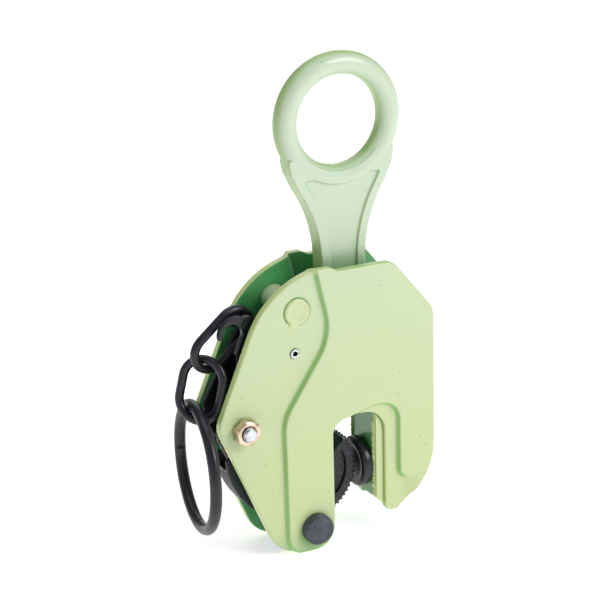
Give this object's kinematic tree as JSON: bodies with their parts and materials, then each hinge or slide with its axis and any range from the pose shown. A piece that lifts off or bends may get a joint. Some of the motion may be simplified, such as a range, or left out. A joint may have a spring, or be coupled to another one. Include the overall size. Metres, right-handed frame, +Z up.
{
  "type": "plate lifting clamp",
  "caption": "Vertical plate lifting clamp: lifting eye, two pressed side plates round an open mouth, toothed cam, swivel jaw, lock lever with chain and pull ring.",
  "frame": {"origin": "centre of the lifting eye, on the middle plane between the side plates", "axes": "+Z up along the pull of the sling, +X towards the jaw side of the mouth, -Y the front side plate with the head of the cam pin"},
  "size_m": [0.1455, 0.0746, 0.2766],
  "materials": {
    "paint": "pale yellow-green enamel, glossy with slight orange peel",
    "black_oxide": "black oxide finish on machined and forged steel, blue-grey sheen",
    "black_wire": "black finish on round steel wire",
    "yellow_zinc": "yellow passivated zinc plating",
    "bright_steel": "bright zinc plated steel",
    "spring_steel": "oiled spring wire"
  },
  "bodies": {
    "lifting_ring": {"lifting_ring": "paint", "ring_link_pin": "black_oxide", "ring_pin_clips": "black_oxide"},
    "links": {"front_link": "black_oxide", "rear_link": "black_oxide"},
    "clamp_body": {"front_side_plate": "paint", "rear_side_plate": "paint", "upper_stay": "paint", "stay_welds": "paint", "spring_pin": "bright_steel", "jaw_block": "paint", "cam_pin": "black_oxide", "cam_pin_washer": "bright_steel", "split_pin": "bright_steel", "cam_spacers": "bright_steel", "lever_bolt": "bright_steel", "lever_washer": "yellow_zinc", "lever_nut": "yellow_zinc", "lever_sleeve": "bright_steel", "lock_spring": "spring_steel"},
    "cam": {"cam": "black_oxide", "cam_link_pin": "black_oxide", "tail_hook_pin": "bright_steel"},
    "swivel_jaw": {"swivel_jaw": "black_oxide", "jaw_retaining_ring": "black_oxide"},
    "lock_lever": {"lock_lever": "black_oxide", "horn_hook_pin": "bright_steel", "chain_anchor_pin": "black_oxide"},
    "upper_chain_link": {"chain_link_upper": "black_wire"},
    "lower_chain_link": {"chain_link_lower": "black_wire"},
    "pull_ring": {"pull_ring": "black_wire"}
  },
  "joints": [
    {"name": "body_slide", "type": "slide", "parent": "lifting_ring", "child": "clamp_body", "axis": [0, 0, 1], "range_m": [0, 0.02226]},
    {"name": "cam_hinge", "type": "hinge", "parent": "clamp_body", "child": "cam", "pos_m": [-0.028, 0, -0.2255], "axis": [0, -1, 0], "range_deg": [0, 43.1], "deforming": ["lock_spring"]},
    {"name": "link_hinge", "type": "hinge", "parent": "lifting_ring", "child": "links", "pos_m": [0, 0, -0.112], "axis": [0, 1, 0], "range_deg": [0, 3.86]},
    {"name": "jaw_swivel", "type": "hinge", "parent": "clamp_body", "child": "swivel_jaw", "pos_m": [0.02, 0, -0.2004], "axis": [1, 0, 0], "continuous": true},
    {"name": "lever_hinge", "type": "hinge", "parent": "clamp_body", "child": "lock_lever", "pos_m": [-0.0685, 0, -0.16], "axis": [0, -1, 0], "range_deg": [0, 45.1], "deforming": ["lock_spring"]},
    {"name": "upper_link_hinge", "type": "hinge", "parent": "lock_lever", "child": "upper_chain_link", "pos_m": [-0.0615, 0, -0.1035], "axis": [0, 1, 0], "range_deg": [0, 45.1]},
    {"name": "lower_link_hinge", "type": "hinge", "parent": "upper_chain_link", "child": "lower_chain_link", "pos_m": [-0.08129, 0, -0.12231], "axis": [0, 1, 0], "range_deg": [0, 40]},
    {"name": "pull_ring_hinge", "type": "hinge", "parent": "lower_chain_link", "child": "pull_ring", "pos_m": [-0.08956, 0, -0.1486], "axis": [0.1392, 0.9903, 0], "range_deg": [-15, 50]}
  ],
  "couplings": [
    {"joint": "cam_hinge", "follows": "body_slide", "rad_per_m": 33.715},
    {"joint": "link_hinge", "follows": "body_slide", "rad_per_m": 2.9873},
    {"joint": "lever_hinge", "follows": "body_slide", "rad_per_m": 35.283},
    {"joint": "upper_link_hinge", "follows": "body_slide", "rad_per_m": 35.283}
  ]
}
